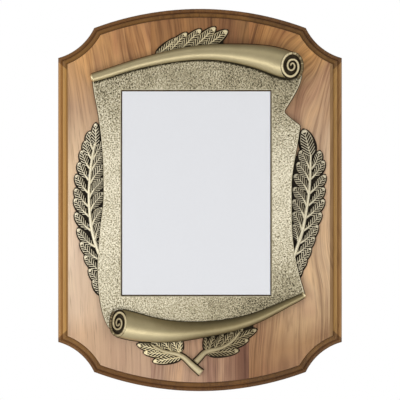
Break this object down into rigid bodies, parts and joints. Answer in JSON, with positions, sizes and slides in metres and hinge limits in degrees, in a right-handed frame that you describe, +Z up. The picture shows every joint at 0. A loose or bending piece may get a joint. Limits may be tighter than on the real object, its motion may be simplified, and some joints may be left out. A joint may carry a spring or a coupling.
{
  "type": "award plaque",
  "caption": "Wall-hung wooden award plaque: a shield-cornered walnut board with a cast scroll frame, laurel sprays and a blank engraving plate.",
  "frame": {"origin": "centre of the board's flat back face, which lies on the wall", "axes": "+X to the right of someone facing the plaque, +Z up, +Y from the front into the wall"},
  "size_m": [0.2826, 0.0361, 0.381],
  "materials": {
    "walnut": "satin lacquer over walnut sapwood and heartwood",
    "walnut_heartwood": "satin lacquer over walnut heartwood",
    "antique_casting": "antiqued: dark patina in the hollows, bright relieved ridges",
    "satin_plate": "pale satin, blank for engraving",
    "tape": "double-sided foam tape",
    "plated_steel": "zinc plated"
  },
  "bodies": {
    "root": {"board_stave_left": "walnut", "board_stave_centre": "walnut_heartwood", "board_stave_right": "walnut", "scroll_frame": "antique_casting", "laurel_spray_left": "antique_casting", "laurel_spray_right": "antique_casting", "laurel_sprig_top": "antique_casting", "laurel_stems_bottom": "antique_casting", "engraving_plate": "satin_plate", "plate_tape": "tape", "scroll_screws": "plated_steel", "scroll_washers": "plated_steel", "laurel_screws": "plated_steel", "laurel_washers": "plated_steel", "keyhole_hanger": "plated_steel", "hanger_screws": "plated_steel"}
  },
  "joints": []
}
